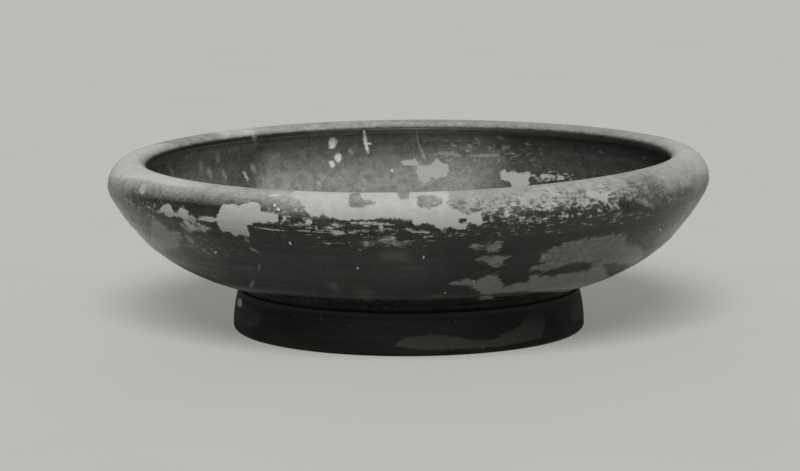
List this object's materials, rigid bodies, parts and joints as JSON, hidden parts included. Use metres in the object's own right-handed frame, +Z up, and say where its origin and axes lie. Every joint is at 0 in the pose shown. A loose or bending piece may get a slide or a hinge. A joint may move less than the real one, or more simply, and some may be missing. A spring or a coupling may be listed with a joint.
{
  "type": "bowl",
  "caption": "Shallow wheel-thrown bowl with a thick incurved rim and a luted ring foot, coated in worn black glaze; holds food or liquid.",
  "frame": {"origin": "centre of the plane that the ring foot rests on", "axes": "+Z up along the bowl's axis of turning; the picture looks along +Y, with +X to its right"},
  "size_m": [0.14, 0.14, 0.0408],
  "materials": {
    "black_glaze": "black gloss worn to a soft sheen, flaked to pale clay along the rim, thin and grey in patches",
    "foot_glaze": "black gloss with a thin grey patch, bare clay where it rests",
    "slip_clay": "fired slip, matt"
  },
  "bodies": {
    "root": {"bowl_body": "black_glaze", "ring_foot": "foot_glaze", "luting_slip": "slip_clay"}
  },
  "joints": []
}
